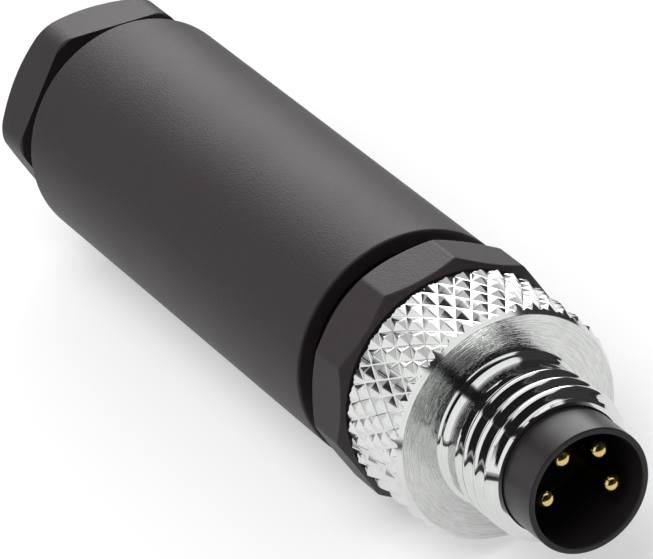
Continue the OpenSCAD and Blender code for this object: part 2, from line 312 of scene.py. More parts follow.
def skin_tree(name, extra, rule, cut_across=None):
    """A tree whose rule gives the radius, and may move the station, at each turn and station."""
    inputs = {"Front": "Float", "Rear": "Float", "Inner radius": "Float", "Lip": "Float",
              "Columns": "Int", "Rows": "Int", "Material": "Material",
              **dict.fromkeys(extra, "Float")}
    tree, given = geometry_tree(name, inputs)
    columns, rows = given["Columns"], given["Rows"]
    grid = put(tree, "GeometryNodeMeshGrid", Size_X=1.0, Size_Y=1.0, Vertices_X=columns + 1.0,
               Vertices_Y=rows + (FRONT_ROWS + REAR_ROWS + 1.0))
    position = tree.nodes.new("GeometryNodeInputPosition").outputs[0]
    place = put(tree, "ShaderNodeSeparateXYZ", Vector=position)
    turn = (Field(tree, place.outputs[0]) + 0.5) * (2 * math.pi)
    row = (Field(tree, place.outputs[1]) + 0.5) * (rows + (FRONT_ROWS + REAR_ROWS))
    last_row = rows + FRONT_ROWS
    along = ((row - FRONT_ROWS) / rows).most(0.0).least(1.0) * (row < last_row + 2.5)
    station = given["Front"] + (given["Rear"] - given["Front"]) * along
    at_face = (row < 1.5) + (row > last_row + 0.5) * (row < last_row + 1.5)
    in_bore = (row < 0.5) + (row > last_row + 1.5)
    to_bore = in_bore * (1.0 - along * 2.0) * given["Lip"]
    mesh = grid.outputs[0]
    if cut_across:
        rising = put(tree, "GeometryNodeTriangulate", quad_method="FIXED", Mesh=mesh,
                     Selection=cut_across(given, turn, station) > 0.0)
        mesh = put(tree, "GeometryNodeTriangulate", quad_method="FIXED_ALTERNATE",
                   Mesh=rising.outputs[0]).outputs[0]
    station, radius = rule(given, turn, station)
    radius = at_face.pick(given["Inner radius"] + given["Lip"], radius)
    radius = in_bore.pick(given["Inner radius"], radius)
    where = put(tree, "ShaderNodeCombineXYZ", X=rim_x - (station + to_bore) * MM,
                Y=radius * turn.cos() * MM, Z=radius * turn.sin() * MM + axis_z)
    moved = put(tree, "GeometryNodeSetPosition", Geometry=mesh, Position=where.outputs[0])
    joined = put(tree, "GeometryNodeMergeByDistance", Geometry=moved.outputs[0], Distance=WELD)
    close_tree(tree, joined.outputs[0], given["Material"])
    return tree


print("a wrapped grid has", int(FRONT_ROWS + REAR_ROWS), "rows more than its surface")

# %% [markdown]
# A tree is run by a modifier on an empty carrier. What it makes is copied into a plain mesh, and
# the carrier is thrown away, so nothing live is left on the plug.

# %% Running a tree
def plain_copy(carrier):
    """What a carrier's modifiers make, ready for editing. The carrier is removed."""
    graph = bpy.context.evaluated_depsgraph_get()
    mesh = bpy.data.meshes.new_from_object(carrier.evaluated_get(graph), depsgraph=graph)
    carrier.modifiers.clear()
    bpy.data.objects.remove(carrier)
    bm = bmesh.new()
    bm.from_mesh(mesh)
    bpy.data.meshes.remove(mesh)
    return bm


def grown(name, tree, sharp=SHARP_ANGLE, **values):
    """Runs a tree with these values and returns what it makes as a plain mesh."""
    carrier = linked(name, bpy.data.meshes.new(name))
    modifier = carrier.modifiers.new(name, "NODES")
    modifier.node_group = tree
    for item in tree.interface.items_tree:
        label = item.name.replace(" ", "_")
        if item.in_out == "INPUT" and label in values:
            modifier[item.identifier] = values[label]
    return finished_mesh(name, plain_copy(carrier), sharp)


print("ready to run trees:", plain_copy.__name__, "and", grown.__name__)

# %% [markdown]
# ## Finishes
#
# Each finish starts from the real one: plastic with an eroded grain, nickel or gold plate over
# turned brass, pressed steel, and rubber. Their colours alone would look like paint: the roughness
# and the fine relief tell them apart. What several of them need is a node group that gives out a
# height or a mask, and the shader stays in the finish.

# %% A node group for an effect
def effect(name, inputs, outputs, build):
    """A shader node group made of fields: build(tree, given) returns one for each output."""
    tree = bpy.data.node_groups.new(name, "ShaderNodeTree")
    for label, value in inputs.items():
        socket = tree.interface.new_socket(label, in_out="INPUT", socket_type="NodeSocketFloat")
        socket.default_value = value
    for label in outputs:
        tree.interface.new_socket(label, in_out="OUTPUT", socket_type="NodeSocketFloat")
    entry, leave = tree.nodes.new("NodeGroupInput"), tree.nodes.new("NodeGroupOutput")
    given = {label: Field(tree, entry.outputs[label]) for label in inputs}
    for label, field in zip(outputs, build(tree, given)):
        plug(tree, field, leave.inputs[label])
    return tree


def noise(tree, vector, scale, detail, roughness):
    node = put(tree, "ShaderNodeTexNoise", Vector=vector, Scale=scale, Detail=detail,
               Roughness=roughness)
    return Field(tree, node.outputs["Fac"])


def object_place(tree):
    return tree.nodes.new("ShaderNodeTexCoord").outputs["Object"]


print("patterns lie on object coordinates, with the axis at %.2f" % (axis_z / MM))

# %% [markdown]
# A spark-eroded mould leaves pits of one size on a slower swell, so the height is two noises,
# mostly the fine one. A third gives pale specks, painted glints where a grain would catch the
# light, and a slow one the cloud of a large moulding. A Voronoi texture would give round pits,
# which suit a coarser grain.

# %% The grain
def grain_fields(tree, given):
    """A pitted skin of two sizes, painted glints in specks where a grain would catch the light, and
    a soft cloud.
    """
    place = object_place(tree)
    fine = noise(tree, place, 1.0 / (given["Size"] * MM), 2.0, 0.6)
    broad = noise(tree, place, 0.22 / (given["Size"] * MM), 2.0, 0.5)
    # Painted glints: pale specks in the colour that stand in for grains catching the light.
    painted_glints = noise(tree, place, 1.35 / (given["Size"] * MM), 1.0, 0.5)
    cloud = noise(tree, place, 160.0, 3.0, 0.5)
    return fine * 0.88 + broad * 0.12, painted_glints.ramp(0.52, 0.74), cloud


grain = effect("Eroded grain", {"Size": 0.1}, ("Height", "Specks", "Cloud"), grain_fields)
print("shared effect:", grain.name, "with", len(grain.nodes), "nodes")

# %% [markdown]
# A lathe tool leaves rings round the axis. A Wave texture draws perfect rings, which look printed.
# Noise that is read along the radius, and only a little round the axis, gives rings of uneven depth
# that break up into arcs, as a worn tool leaves them.

# %% The turning marks
def turning_fields(tree, given):
    """Rings that a lathe tool leaves, broken up a little round the axis."""
    place = put(tree, "ShaderNodeSeparateXYZ", Vector=object_place(tree))
    y = Field(tree, place.outputs[1]) / MM
    z = (Field(tree, place.outputs[2]) - axis_z) / MM
    radius = (y * y + z * z).sqrt()
    turn = y.math("ARCTAN2", z)
    rings = put(tree, "ShaderNodeCombineXYZ", X=radius / given["Pitch"],
                Y=turn.cos() * given["Breaks"], Z=turn.sin() * given["Breaks"])
    height = noise(tree, rings.outputs[0], 1.0, 2.0, 0.6)
    return height, noise(tree, rings.outputs[0], 0.35, 1.0, 0.5)


turning = effect("Turning marks", {"Pitch": 0.06, "Breaks": 2.0}, ("Height", "Streaks"),
                 turning_fields)
print("shared effect:", turning.name, "with", len(turning.nodes), "nodes")

# %% [markdown]
# A finish sets what is the same all over on the shader's own sockets, and links only what changes
# over the surface: the colour, the roughness and the normal. A Mix node has one set of sockets for
# each kind of value, so its colour sockets are known by their numbers.

# %% Helpers for a finish
MIX_LOW, MIX_HIGH, MIX_RESULT = 6, 7, 2


def finish(name, colour, metallic=0.0, roughness=0.5, **sockets):
    material = bpy.data.materials.new(name)
    material.use_nodes = True
    material.diffuse_color = (*colour, 1.0)
    tree = material.node_tree
    shader = tree.nodes["Principled BSDF"]
    plain = dict(Base_Color=(*colour, 1.0), Metallic=metallic, Roughness=roughness, **sockets)
    for label, value in plain.items():
        shader.inputs[label.replace("_", " ")].default_value = value
    return material, tree, shader


def use(tree, group, **values):
    node = put(tree, "ShaderNodeGroup", node_tree=group)
    for label, value in values.items():
        plug(tree, value, node.inputs[label])
    return node


def scaled(colour, factor):
    return tuple(min(1.0, channel * factor) for channel in colour)


def blended(tree, factor, low, high):
    """A colour between two, as a socket."""
    node = put(tree, "ShaderNodeMix", data_type="RGBA", clamp_factor=True)
    plug(tree, factor, node.inputs["Factor"])
    node.inputs[MIX_LOW].default_value = (*low, 1.0)
    node.inputs[MIX_HIGH].default_value = (*high, 1.0)
    return node.outputs[MIX_RESULT]


def bumped(tree, shader, height, depth, strength=1.0):
    bump = put(tree, "ShaderNodeBump", Strength=strength, Distance=depth * MM, Height=height)
    tree.links.new(bump.outputs[0], shader.inputs["Normal"])


print("a colour at half its strength:", scaled((1.0, 0.8, 0.6), 0.5))

# %% [markdown]
# ## Moulded plastic and rubber
#
# The housing's mould is eroded by sparks, which leaves a matt grain of about a tenth of a
# millimetre on the polyamide. The insert's mould is smoother. Both are near black, so the grain's
# relief and pale specks of painted glint make the surface. A painted grain would need an unwrapped
# surface, and noise on object coordinates doesn't. Rubber and the cage's natural acetal follow the
# same recipe.

# %% Plastics and rubber
def moulded(name, colour, size, depth, roughness, glint_and_cloud_paleness=1.35):
    """Matt plastic: eroded grain, with specks of painted glint and a faint cloud in the colour."""
    material, tree, shader = finish(name, colour, roughness=roughness, Specular_IOR_Level=0.28)
    skin = use(tree, grain, Size=size)
    painted_glints, cloud = Field(tree, skin.outputs["Specks"]), Field(tree, skin.outputs["Cloud"])
    # Pale specks in the colour are painted glints of the grain, and the cloud is the moulding's own
    # uneven tone.
    glints_and_cloud = painted_glints * 0.8 + cloud * 0.3
    mixed = blended(tree, glints_and_cloud, scaled(colour, 0.9), scaled(colour, glint_and_cloud_paleness))
    plug(tree, mixed, shader.inputs["Base Color"])
    plug(tree, cloud * 0.1 + (roughness - 0.05), shader.inputs["Roughness"])
    bumped(tree, shader, skin.outputs["Height"], depth)
    print("moulded finish:", name)
    return material


housing_plastic = moulded("Grained black polyamide", (0.021, 0.0162, 0.018),
                          size=0.09, depth=0.032, roughness=0.5)
insert_plastic = moulded("Smooth black polyamide", (0.017, 0.014, 0.0152),
                         size=0.07, depth=0.004, roughness=0.34, glint_and_cloud_paleness=1.15)
block_plastic = moulded("Dark block polyamide", (0.05, 0.052, 0.058),
                        size=0.09, depth=0.006, roughness=0.5, glint_and_cloud_paleness=1.2)
cage_plastic = moulded("Natural acetal", (0.74, 0.72, 0.66),
                       size=0.12, depth=0.005, roughness=0.42, glint_and_cloud_paleness=1.03)
rubber = moulded("Black nitrile rubber", (0.022, 0.021, 0.021),
                 size=0.06, depth=0.006, roughness=0.72, glint_and_cloud_paleness=1.5)

# %% [markdown]
# ## Plated and pressed metal
#
# Plating is thin, so the tool's marks still show. On the thread and the knurl they are faint. The
# ring's front is faced with a coarser feed, and its rings spread every reflection outwards. Their
# darker and paler lines are also painted into the colour: painted shade where the rings' relief is
# low, and an uneven tone along them. An anisotropic shader could stretch the reflections as well,
# but rings in the relief also glint one by one.

# %% Metals
def plated(name, colour, roughness, pitch, depth, strength, breaks=2.0, dull=0.1, shade=0.93):
    """Bright plate over turned metal: the tool's rings show through it, with painted shade in their
    grooves.
    """
    material, tree, shader = finish(name, colour, metallic=1.0, roughness=roughness)
    marks = use(tree, turning, Pitch=pitch, Breaks=breaks)
    streaks = Field(tree, marks.outputs["Streaks"])
    plug(tree, streaks * dull + (roughness - dull * 0.5), shader.inputs["Roughness"])
    # The colour is darker where the rings' relief is low, which is painted shade in their grooves,
    # and varies a little along the streaks.
    groove_shade_and_streaks = Field(tree, marks.outputs["Height"]).ramp(0.34, 0.62) * 0.6 + streaks * 0.4
    mixed = blended(tree, groove_shade_and_streaks, scaled(colour, shade), scaled(colour, 1.04))
    plug(tree, mixed, shader.inputs["Base Color"])
    bumped(tree, shader, marks.outputs["Height"], depth, strength)
    print("metal finish:", name)
    return material


NICKEL, GOLD, STEEL = (0.66, 0.67, 0.66), (0.66, 0.50, 0.19), (0.56, 0.57, 0.59)
bright_nickel = plated("Bright nickel", NICKEL, roughness=0.07,
                       pitch=0.05, depth=0.0015, strength=0.5, dull=0.04)
knurl_nickel = plated("Rolled nickel", NICKEL, roughness=0.13,
                      pitch=0.08, depth=0.002, strength=0.5, dull=0.08)
# The face's low shade factor paints deeper shade into the grooves of its rings.
faced_nickel = plated("Faced nickel", NICKEL, roughness=0.08, pitch=0.055, depth=0.012,
                      strength=1.0, breaks=7.0, dull=0.05, shade=0.74)
gold_plate = plated("Gold plate", GOLD, roughness=0.09,
                    pitch=0.06, depth=0.001, strength=0.4, dull=0.04)
pressed_steel = plated("Pressed steel", STEEL, roughness=0.34,
                       pitch=0.12, depth=0.003, strength=0.7, breaks=3.0)

# %% [markdown]
# ## The coupling ring
#
# The ring is turned from brass, knurled, threaded and nickel plated. A rolled knurl is two families
# of V grooves that cross and leave four-sided points. A bump would leave its outline smooth, so it
# is real geometry. In the tree each family is a number that grows along a diagonal, and its
# distance to the nearest whole number says where on a point we are. The grid's squares are cut
# along the grooves, so that every facet is flat. A cone in front, steeper towards the face, is the
# ring's chamfer.

# %% The knurl
KNURL_COUNT, KNURL_CELLS, HALF_LENGTH = 40, 12, 0.834
KNURL_DEPTH, KNURL_EASE, KNURL_LEAD = 0.21, 0.02, 0.66
LEAD_CURVE, TAIL_SHARE, TAIL_SLOPE = 0.4, 0.6, 2.0
POCKET_RADIUS, BORE_RADIUS, FACE_RADIUS = 4.6, 3.3, 5.86
KNURL_SHARP = math.radians(14)


def knurl_place(given, turn, station):
    """Where a point lies on its own four-sided tip, from -1 to 1 across it and along it."""
    u = turn * given["Count"] / math.pi
    v = (given["Rear"] - station) / given["Half length"]
    p, q = (u + v) / 2.0, (u - v) / 2.0
    p, q = p - p.round(), q - q.round()
    return p + q, p - q


def knurl_rule(given, turn, station):
    across, along = knurl_place(given, turn, station)
    tip, depth, ease = given["Tip radius"], given["Depth"], given["Ease"]
    slope = (across * across + ease * ease).sqrt() + (along * along + ease * ease).sqrt() - ease
    rolled = tip - depth * slope.least(1.0 - given["Land"])
    before = (1.0 - (station - given["Front"]) / given["Lead length"]).most(0.0)
    lead = tip - given["Lead rise"] * before * (before * LEAD_CURVE + (1.0 - LEAD_CURVE))
    tail = tip - depth * TAIL_SHARE + (given["Rear"] - station) * TAIL_SLOPE
    return station, rolled.least(lead).least(tail)


def knurl_cut(given, turn, station):
    across, along = knurl_place(given, turn, station)
    return across * along


knurl_inputs = ("Count", "Half length", "Tip radius", "Depth", "Ease", "Land", "Lead length",
                "Lead rise")
knurl_tree = skin_tree("Knurl", knurl_inputs, knurl_rule, knurl_cut)
ring_front, ring_rear = span("coupling_ring")
knurl_tip = reach("coupling_ring")
knurl_rows = round((ring_rear - ring_front) / HALF_LENGTH * KNURL_CELLS)
knurl_front = ring_rear - knurl_rows * HALF_LENGTH / KNURL_CELLS
knurl_mesh = grown(
    "ring_knurl", knurl_tree, sharp=KNURL_SHARP, Front=knurl_front, Rear=ring_rear,
    Inner_radius=POCKET_RADIUS, Lip=0.05, Columns=2 * KNURL_COUNT * KNURL_CELLS, Rows=knurl_rows,
    Count=float(KNURL_COUNT), Half_length=HALF_LENGTH, Tip_radius=knurl_tip, Depth=KNURL_DEPTH,
    Ease=KNURL_EASE, Land=1.0 / KNURL_CELLS, Lead_length=KNURL_LEAD,
    Lead_rise=knurl_tip - FACE_RADIUS)
piece("ring_knurl", knurl_mesh, knurl_nickel, "ring", "nickel", "coupling_ring")

# %% [markdown]
# The thread is M8 x 1: a 60 degree groove that climbs one millimetre in a turn, with rounded crests
# and roots. Straight rows would cut its edges into steps, so the rule slides each row along with
# the turn, and every edge of the thread follows a row. The phase says where the thread starts. A
# cone in front is its lead, and a cone behind lets it run out into the relief groove.

# %% The threads
ROWS_IN_A_TURN, SPARE_TURNS = 20, 1.5
THREAD_RADIUS, THREAD_DEPTH, THREAD_PHASE, RUN_OUT = 4.0, 0.44, 0.41, 1.45
RELIEF_RADIUS, COLLAR_RADIUS = 3.72, 4.12


def thread_rule(given, turn, station):
    pitch, front, rear = given["Pitch"], given["Front"], given["Rear"]
    crest, root = given["Crest"], given["Root"]
    share = (station - front) / (rear - front)
    row_station = front - pitch / 2.0 + share * (given["Turns"] * pitch)
    moved = row_station - pitch * turn / (2 * math.pi)
    from_crest = ((row_station - front - given["Phase"]) / pitch).wrap(1.0) - 0.5
    fall = ((from_crest.abs() - crest) / (0.5 - crest - root)).most(0.0).least(1.0)
    cut = given["Crest radius"] - given["Depth"] * (0.5 - (fall * math.pi).cos() * 0.5)
    lead = given["Lead radius"] + (moved - front).most(0.0) * given["Lead slope"]
    tail = given["Tail radius"] + (rear - moved).most(0.0)
    return moved.most(front).least(rear), cut.least(lead).least(tail)


thread_inputs = ("Pitch", "Turns", "Phase", "Crest", "Root", "Crest radius", "Depth",
                 "Lead radius", "Lead slope", "Tail radius")
thread_tree = skin_tree("Thread", thread_inputs, thread_rule)
neck_front, neck_rear = span("threaded_neck")[0], ring_front
thread_rear = neck_rear - RUN_OUT
thread_turns = math.ceil(thread_rear - neck_front + SPARE_TURNS)
thread_mesh = grown(
    "ring_thread", thread_tree, sharp=math.radians(40), Front=neck_front, Rear=thread_rear,
    Inner_radius=BORE_RADIUS, Lip=0.02, Columns=216, Rows=thread_turns * ROWS_IN_A_TURN,
    Pitch=1.0, Turns=float(thread_turns), Phase=THREAD_PHASE, Crest=0.06, Root=0.02,
    Crest_radius=THREAD_RADIUS, Depth=THREAD_DEPTH, Lead_radius=3.5, Lead_slope=1.05,
    Tail_radius=RELIEF_RADIUS)
piece("ring_thread", thread_mesh, bright_nickel, "ring", "nickel", "threaded_neck")

# %% [markdown]
# The rest of the ring is plain turning: the relief groove, which swells towards the collar as the
# tool leaves it, the collar, and the front face. The face is a piece of its own because it has its
# own finish.

# %% The neck and the face
FACE_RIM, FACE_BACK, POCKET_STEP = 0.1, 0.6, 0.8
neck_mesh = turned("ring_collar", [
    (thread_rear, BORE_RADIUS, 0), (thread_rear, RELIEF_RADIUS, 0),
    (neck_rear - 0.78, RELIEF_RADIUS, 0.3), (neck_rear - 0.45, RELIEF_RADIUS + 0.18, 0.1),
    (neck_rear - 0.38, THREAD_RADIUS + 0.02, 0.02), (neck_rear - 0.28, COLLAR_RADIUS, 0.05),
    (neck_rear, COLLAR_RADIUS, 0), (neck_rear, BORE_RADIUS, 0)], segments=216)
piece("ring_collar", neck_mesh, bright_nickel, "ring", "nickel", "threaded_neck")
face_mesh = turned("ring_face", [
    (ring_front, BORE_RADIUS, 0), (ring_front, FACE_RADIUS, 0.03),
    (ring_front + FACE_RIM, FACE_RADIUS, 0), (ring_front + FACE_BACK, POCKET_RADIUS + 0.5, 0),
    (ring_front + POCKET_STEP, POCKET_RADIUS, 0), (ring_front + POCKET_STEP, BORE_RADIUS, 0)],
    segments=216)
piece("ring_face", face_mesh, faced_nickel, "ring", "nickel", "coupling_ring")

# %% [markdown]
# ## The insert and its contacts
#
# The insert is one moulding: a thin shroud round the pins, a flange that stops it in the housing,
# and a solid core. It could be a tube with a disk behind it, but one profile gives a closed skin
# with a rounded rim, where the light runs along it.

# %% The insert
SHROUD_RADIUS, SHROUD_BORE, SHROUD_DEPTH = 3.25, 2.93, 5.2
FLANGE_FRONT, FLANGE_REAR, FLANGE_RADIUS = 8.4, 9.0, 3.9
insert_front, insert_rear = span("contact_insert")
insert_mesh = turned("insert_moulding", [
    (insert_front, SHROUD_RADIUS, 0.08), (FLANGE_FRONT, SHROUD_RADIUS, 0),
    (FLANGE_FRONT, FLANGE_RADIUS, 0.05), (FLANGE_REAR, FLANGE_RADIUS, 0.05),
    (FLANGE_REAR, SHROUD_RADIUS, 0), (insert_rear, SHROUD_RADIUS, 0.05), (insert_rear, 0, 0),
    (SHROUD_DEPTH, 0, 0), (SHROUD_DEPTH, SHROUD_BORE, 0.12), (insert_front, SHROUD_BORE, 0.08)],
    segments=192)
piece("insert_moulding", insert_mesh, insert_plastic, "plug_body", "black_insert",
      "contact_insert")

# %% [markdown]
# A contact is turned from brass and gold plated: a pin with a round nose, and a wider barrel with a
# hole for the wire. The barrels stand further out than the pins, to leave room for the screws, so
# pin and barrel are turned round two lines beside the axis.

# %% One contact
PIN_RADIUS, PIN_CIRCLE = 0.5, 1.85
BARREL_RADIUS, BARREL_CIRCLE, BARREL_LENGTH = 1.15, 2.45, 7.4
WIRE_RADIUS, WIRE_DEPTH = 0.65, 5.4
contact_front, contact_rear = span("contact_1")
barrel_front, wire_end = contact_rear - BARREL_LENGTH, contact_rear - WIRE_DEPTH
nose = [(contact_front + PIN_RADIUS * (1 - math.cos(a)), PIN_RADIUS * math.sin(a), 0)
        for a in (math.radians(d) for d in range(0, 91, 9))]
pin_mesh = turned("pin", nose + [(barrel_front, PIN_RADIUS, 0), (barrel_front, 0, 0)],
                  segments=48, centre=(PIN_CIRCLE, 0.0))
barrel_mesh = turned("barrel", [
    (barrel_front, 0, 0), (barrel_front, BARREL_RADIUS, 0.08), (contact_rear, BARREL_RADIUS, 0.08),
    (contact_rear, WIRE_RADIUS, 0.12), (wire_end, WIRE_RADIUS, 0), (wire_end, 0, 0)],
    segments=64, centre=(BARREL_CIRCLE, 0.0))
print("a pin is %.1f long, and its nose is %.1f behind the rim"
      % (barrel_front - contact_front, contact_front))

# %% [markdown]
# The four contacts are alike, so a tree sets one of them four times round the axis, in the
# trapezoid that keys a plug of this size. Copies placed by hand would do the same, but the tree
# says the rule in two half angles: even and odd contacts mirror each other, and the second pair
# takes the wider angle.

# %% The pattern of four
PATTERN_TURN, NEAR_HALF_ANGLE, FAR_HALF_ANGLE = 72.0, 33.5, 103.5
pattern, pattern_given = geometry_tree("Contact pattern", {
    "Pin": "Object", "Barrel": "Object", "Turn": "Float", "Near half angle": "Float",
    "Far half angle": "Float", "Material": "Material"})
index = Field(pattern, pattern.nodes.new("GeometryNodeInputIndex").outputs[0])
half = (index < 1.5).pick(pattern_given["Near half angle"], pattern_given["Far half angle"])
side = 1.0 - 2.0 * index.wrap(2.0)
spots = put(pattern, "GeometryNodePoints", Count=4, Position=(0.0, 0.0, axis_z))
way = put(pattern, "FunctionNodeAxisAngleToRotation", Axis=(1.0, 0.0, 0.0),
          Angle=(pattern_given["Turn"] + side * half) * (math.pi / 180))
both = pattern.nodes.new("GeometryNodeJoinGeometry")
for part in ("Pin", "Barrel"):
    info = put(pattern, "GeometryNodeObjectInfo", Object=pattern_given[part])
    pattern.links.new(info.outputs["Geometry"], both.inputs[0])
placed = put(pattern, "GeometryNodeInstanceOnPoints", Points=spots.outputs[0],
             Instance=both.outputs[0], Rotation=way.outputs[0])
close_tree(pattern, placed.outputs[0], pattern_given["Material"])
samples = {}
for label, mesh in (("Pin", pin_mesh), ("Barrel", barrel_mesh)):
    mesh.transform(Matrix.Translation((0, 0, -axis_z)))
    samples[label] = linked(label, mesh)
contacts_mesh = grown("contacts", pattern, Turn=PATTERN_TURN, Near_half_angle=NEAR_HALF_ANGLE,
                      Far_half_angle=FAR_HALF_ANGLE, **samples)
for sample in samples.values():
    bpy.data.objects.remove(sample)
piece("contacts", contacts_mesh, gold_plate, "plug_body", "gold",
      "contact_1", "contact_2", "contact_3", "contact_4")

# %% [markdown]
# ## Flats
#
# The grip body has ten flats and the gland nut six. Both are polygons with rounded corners, and a
# turned cone eases each end, so that every flat ends in a shallow arc. A prism with a Bevel would
# end straight. One tree makes both: the polygon gives a radius for each turn, the cones one for
# each station, and a soft minimum rounds the edge where they meet.

# %% The grip's flats
GRIP_HALF_WIDTH, GRIP_CORNER, GRIP_END_RADIUS, GRIP_BORE = 6.28, 0.4, 6.1, 4.6
GRIP_LENGTH, RING_GAP = 3.2, 0.26


def flats_rule(given, turn, station):
    sector = 2 * math.pi / given["Sides"]
    off = (turn - given["Turn"] * (math.pi / 180) + sector * 0.5).wrap(sector) - sector * 0.5
    off = off.abs()
    flat = given["Half width"] / off.cos()
    centre = (given["Half width"] - given["Corner"]) / (sector * 0.5).cos()
    to_corner = sector * 0.5 - off
    height = centre * to_corner.sin()
    reached = (given["Corner"] * given["Corner"] - height * height).most(0.0).sqrt()
    arc = centre * to_corner.cos() + reached
    rounded = off.math("TANGENT") > centre * (sector * 0.5).sin() / given["Half width"]
    outline = rounded.pick(arc, flat)
    front = given["Front radius"] + (station - given["Front"]) * given["Front slope"]
    rear = given["Rear radius"] + (given["Rear"] - station) * given["Rear slope"]
    return station, outline.soft_least(front, given["Ease"]).soft_least(rear, given["Ease"])


flats_inputs = ("Sides", "Turn", "Half width", "Corner", "Front radius", "Front slope",
                "Rear radius", "Rear slope", "Ease")
flats_tree = skin_tree("Flats", flats_inputs, flats_rule)
grip_front = ring_rear + RING_GAP
grip_rear = grip_front + GRIP_LENGTH
grip_mesh = grown(
    "grip_flats", flats_tree, Front=grip_front, Rear=grip_rear, Inner_radius=GRIP_BORE, Lip=0.05,
    Columns=720, Rows=56, Sides=10.0, Turn=18.0, Half_width=GRIP_HALF_WIDTH, Corner=GRIP_CORNER,
    Front_radius=GRIP_END_RADIUS, Front_slope=1.0, Rear_radius=GRIP_END_RADIUS, Rear_slope=1.0,
    Ease=0.04)
piece("grip_flats", grip_mesh, housing_plastic, "plug_body", "black_housing", "grip_body")

# %% [markdown]
# The grip body's hub and rear thread are hidden while the plug is closed, but the thread and its
# seal show as soon as the sleeve is drawn back. So they are made in full: the thread by the ring's
# tree, and the seal as a circle turned round the axis.

# %% The hub, the rear thread and the seal behind the grip
HUB_RADIUS, HUB_BORE, HUB_SHOULDER = 4.55, 3.28, 5.0
SKIRT_RADIUS, SKIRT_CORE, BLOCK_BORE = 5.25, 4.7, 4.53
GROOVE_RADIUS, GROOVE_LENGTH, OVERLAP = 4.95, 0.86, 0.1
SEAL_SECTION = 0.4
hub_front, skirt_rear = span("grip_body")
groove_rear = grip_rear + GROOVE_LENGTH
core_mesh = turned("grip_core", [
    (hub_front, HUB_BORE, 0.05), (hub_front, HUB_RADIUS, 0.1),
    (grip_front + OVERLAP, HUB_RADIUS, 0), (grip_front + OVERLAP, HUB_SHOULDER, 0),
    (grip_rear - OVERLAP, HUB_SHOULDER, 0), (grip_rear - OVERLAP, GROOVE_RADIUS, 0),
    (groove_rear + OVERLAP, GROOVE_RADIUS, 0), (groove_rear + OVERLAP, SKIRT_CORE, 0),
    (skirt_rear - OVERLAP, SKIRT_CORE, 0), (skirt_rear - OVERLAP, BLOCK_BORE, 0),
    (grip_front + 0.5, BLOCK_BORE, 0), (grip_front + 0.5, HUB_BORE, 0)])
piece("grip_core", core_mesh, housing_plastic, "plug_body", "black_housing", "grip_body")
skirt_turns = math.ceil(skirt_rear - groove_rear + SPARE_TURNS)
skirt_mesh = grown(
    "grip_thread", thread_tree, sharp=math.radians(30), Front=groove_rear, Rear=skirt_rear,
    Inner_radius=BLOCK_BORE, Lip=0.05, Columns=180, Rows=skirt_turns * ROWS_IN_A_TURN,
    Pitch=1.0, Turns=float(skirt_turns), Crest=0.1, Root=0.1, Crest_radius=SKIRT_RADIUS,
    Depth=0.36, Lead_radius=5.0, Lead_slope=1.0, Tail_radius=4.9)
piece("grip_thread", skirt_mesh, housing_plastic, "plug_body", "black_housing", "grip_body")
seal_station, seal_radius = sum(span("body_seal")) / 2, reach("body_seal") - SEAL_SECTION
seal_circle = [(seal_station + SEAL_SECTION * math.cos(a),
                seal_radius + SEAL_SECTION * math.sin(a), 0)
               for a in (math.radians(d) for d in range(0, 360, 15))]
piece("body_o_ring", turned("body_o_ring", seal_circle), rubber, "plug_body", "rubber",
      "body_seal")

# %% [markdown]
# ## The sleeve
#
# The sleeve is a plain moulded tube, so its finish does the work. A cylinder with a Solidify
# modifier would have one wall all along. The real one has a wider mouth for the grip's thread, a
# wall that the cable's seal is pressed against, and a core for the nut's thread, so it is turned
# from its own profile.

# %% The sleeve
MOUTH_RADIUS, SLEEVE_BORE, GLAND_RADIUS, WALL_HOLE = 5.3, 4.95, 4.75, 3.0
SEAL_WALL_REAR, SEAL_WALL_FRONT, WALL_CONE, MOUTH_ROOM = 11.2, 12.5, 1.95, 0.3
sleeve_front, sleeve_rear = span("sleeve")
sleeve_radius = reach("sleeve")
wall_rear, wall_front = sleeve_rear - SEAL_WALL_REAR, sleeve_rear - SEAL_WALL_FRONT
mouth_rear = skirt_rear + MOUTH_ROOM
sleeve_mesh = turned("sleeve_tube", [
    (sleeve_front, MOUTH_RADIUS, 0.12), (sleeve_front, sleeve_radius, 0.16),
    (sleeve_rear, sleeve_radius, 0.14), (sleeve_rear, GLAND_RADIUS, 0.15),
    (wall_rear, GLAND_RADIUS, 0.05), (wall_rear, WALL_HOLE, 0.05),
    (wall_front, WALL_HOLE, 0.05), (wall_front - WALL_CONE, SLEEVE_BORE, 0.1),
    (mouth_rear, SLEEVE_BORE, 0.03), (mouth_rear, MOUTH_RADIUS, 0.03)], segments=216, steps=6)
piece("sleeve_tube", sleeve_mesh, housing_plastic, "housing", "black_housing", "sleeve")

# %% [markdown]
# ## The cable gland
#
# The nut is the flats tree again, with six sides, well rounded corners and a long cone behind. Its
# neck reaches into the sleeve round the clamping cage, and is turned by itself, as it has no flats.

